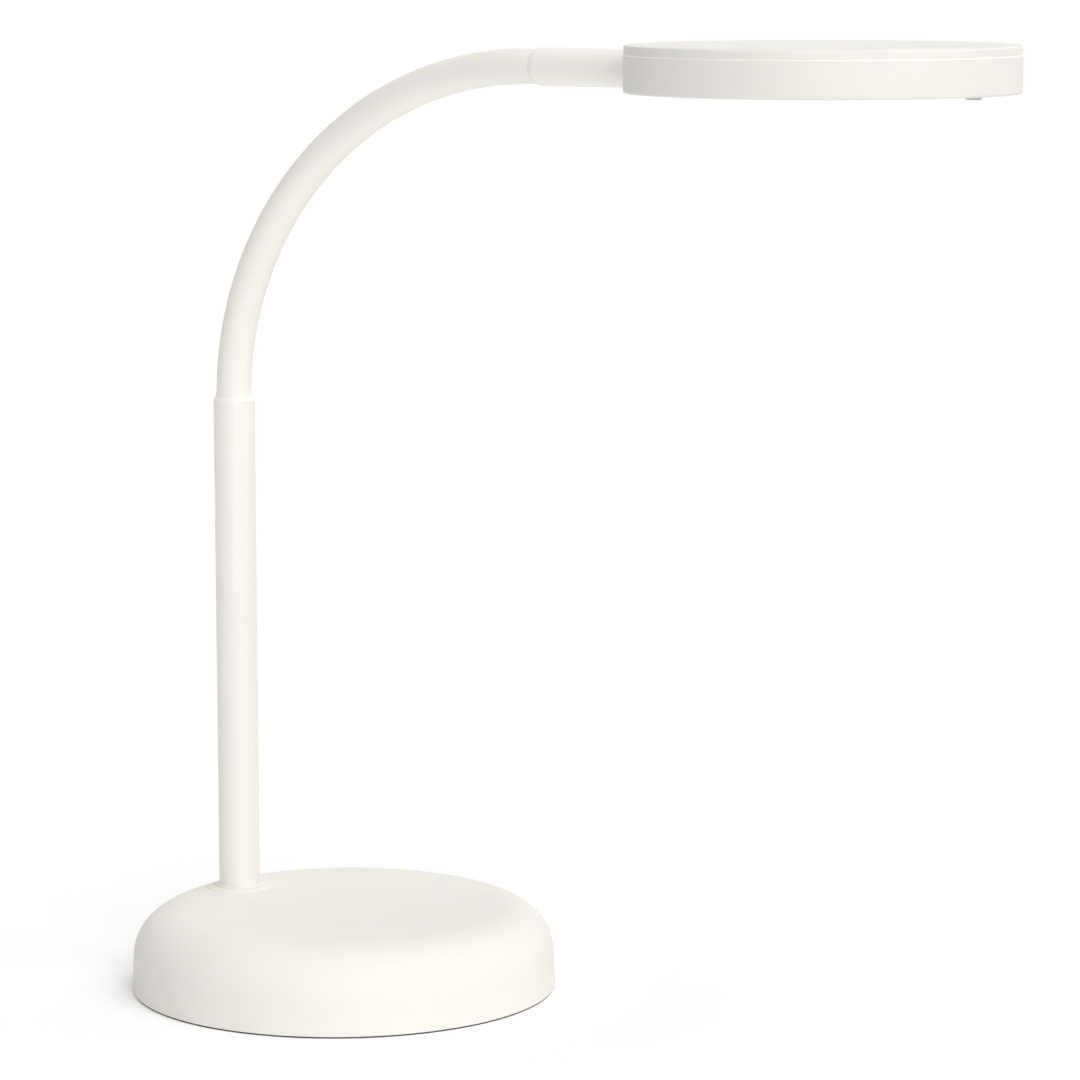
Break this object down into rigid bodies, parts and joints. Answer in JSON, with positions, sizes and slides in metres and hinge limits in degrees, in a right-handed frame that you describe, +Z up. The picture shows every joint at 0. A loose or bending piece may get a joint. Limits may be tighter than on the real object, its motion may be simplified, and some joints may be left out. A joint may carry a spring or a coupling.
{
  "type": "led desk lamp",
  "caption": "Desk lamp with a heavy round base, a straight pole, a flexible neck and a flat round light head with a push button under its front edge.",
  "frame": {"origin": "centre of the round base on the surface that it stands on", "axes": "+Z up, +X from the pole towards the head, +Y to the left of that"},
  "size_m": [0.4034, 0.18, 0.4018],
  "materials": {
    "shell_plastic": "fine satin, warm white",
    "head_plastic": "fine satin, warm white",
    "pole_paint": "satin paint, warm white",
    "sleeve_rubber": "smooth matt, warm white",
    "steel": "plain",
    "cast_weight": "as cast",
    "dark_pad": "matt foam",
    "plate_plastic": "plain",
    "black_plastic": "plain",
    "brass_pin": "plain",
    "opal": "opal, frosted",
    "clear_guide": "clear, polished",
    "white_sheet": "satin",
    "flexible_strip": "printed strip",
    "light_source": "small moulded package",
    "aluminium_sheet": "plain sheet",
    "grey_pad": "soft insulating pad",
    "circuit_board": "green solder mask",
    "board_parts": "dark mouldings",
    "button_plastic": "satin",
    "lead_plastic": "smooth"
  },
  "bodies": {
    "base": {"base_shell": "shell_plastic", "foot_collar": "shell_plastic", "weight": "cast_weight", "bottom_plate": "plate_plastic", "plate_screws": "steel", "anti_slip_pad": "dark_pad", "inlet_socket": "black_plastic", "inlet_pin": "brass_pin", "pole": "pole_paint", "pole_stud": "steel", "stud_washer": "steel", "stud_nut": "steel", "neck_plug": "steel", "neck_core_0": "steel", "neck_sleeve_0": "sleeve_rubber", "lead_0": "lead_plastic"},
    "link_1": {"neck_core_1": "steel", "neck_sleeve_1": "sleeve_rubber", "lead_1": "lead_plastic"},
    "link_2": {"neck_core_2": "steel", "neck_sleeve_2": "sleeve_rubber", "lead_2": "lead_plastic"},
    "link_3": {"neck_core_3": "steel", "neck_sleeve_3": "sleeve_rubber", "lead_3": "lead_plastic"},
    "link_4": {"neck_core_4": "steel", "neck_sleeve_4": "sleeve_rubber", "lead_4": "lead_plastic"},
    "link_5": {"neck_core_5": "steel", "neck_sleeve_5": "sleeve_rubber", "lead_5": "lead_plastic"},
    "link_6": {"neck_core_6": "steel", "neck_sleeve_6": "sleeve_rubber", "lead_6": "lead_plastic"},
    "link_7": {"neck_core_7": "steel", "neck_sleeve_7": "sleeve_rubber", "lead_7": "lead_plastic"},
    "head": {"neck_core_8": "steel", "neck_sleeve_8": "sleeve_rubber", "lead_8": "lead_plastic", "neck_connector": "head_plastic", "head_tray": "head_plastic", "head_lid": "head_plastic", "diffuser": "opal", "light_guide": "clear_guide", "reflector_sheet": "white_sheet", "led_strip": "flexible_strip", "leds": "light_source", "back_plate": "aluminium_sheet", "driver_pad": "grey_pad", "driver_board": "circuit_board", "driver_parts": "board_parts", "core_clamp": "steel", "head_screws": "steel", "push_switch": "black_plastic", "switch_board": "circuit_board"},
    "button": {"button_cap": "button_plastic", "switch_plunger": "black_plastic"}
  },
  "joints": [
    {"name": "neck_bend_1", "type": "hinge", "parent": "base", "child": "link_1", "pos_m": [-0.05709, 0, 0.26393], "axis": [0, 1, 0], "range_deg": [-15, 14], "deforming": ["neck_sleeve_0", "neck_sleeve_1"]},
    {"name": "neck_bend_2", "type": "hinge", "parent": "link_1", "child": "link_2", "pos_m": [-0.05018, 0, 0.29238], "axis": [0, 1, 0], "range_deg": [-15, 14], "deforming": ["neck_sleeve_2"]},
    {"name": "neck_sway_3", "type": "hinge", "parent": "link_2", "child": "link_3", "pos_m": [-0.03727, 0, 0.31866], "axis": [0.8463, 0, -0.5327], "range_deg": [-25, 25], "deforming": ["neck_sleeve_3"]},
    {"name": "neck_bend_4", "type": "hinge", "parent": "link_3", "child": "link_4", "pos_m": [-0.01928, 0, 0.34177], "axis": [0, 1, 0], "range_deg": [-15, 14], "deforming": ["neck_sleeve_4"]},
    {"name": "neck_bend_5", "type": "hinge", "parent": "link_4", "child": "link_5", "pos_m": [0.00285, 0, 0.36097], "axis": [0, 1, 0], "range_deg": [-15, 14], "deforming": ["neck_sleeve_5"]},
    {"name": "neck_sway_6", "type": "hinge", "parent": "link_5", "child": "link_6", "pos_m": [0.02817, 0, 0.3757], "axis": [0.4216, 0, -0.9068], "range_deg": [-25, 25], "deforming": ["neck_sleeve_6"]},
    {"name": "neck_bend_7", "type": "hinge", "parent": "link_6", "child": "link_7", "pos_m": [0.05573, 0, 0.38565], "axis": [0, 1, 0], "range_deg": [-15, 14], "deforming": ["neck_sleeve_7"]},
    {"name": "neck_bend_8", "type": "hinge", "parent": "link_7", "child": "head", "pos_m": [0.0846, 0, 0.39063], "axis": [0, 1, 0], "range_deg": [-15, 14], "deforming": ["neck_sleeve_8"]},
    {"name": "button_press", "type": "slide", "parent": "head", "child": "button", "axis": [0, 0, 1], "range_m": [0, 0.0006], "stiffness_N_per_m": 800, "springref_m": -0.0005}
  ]
}
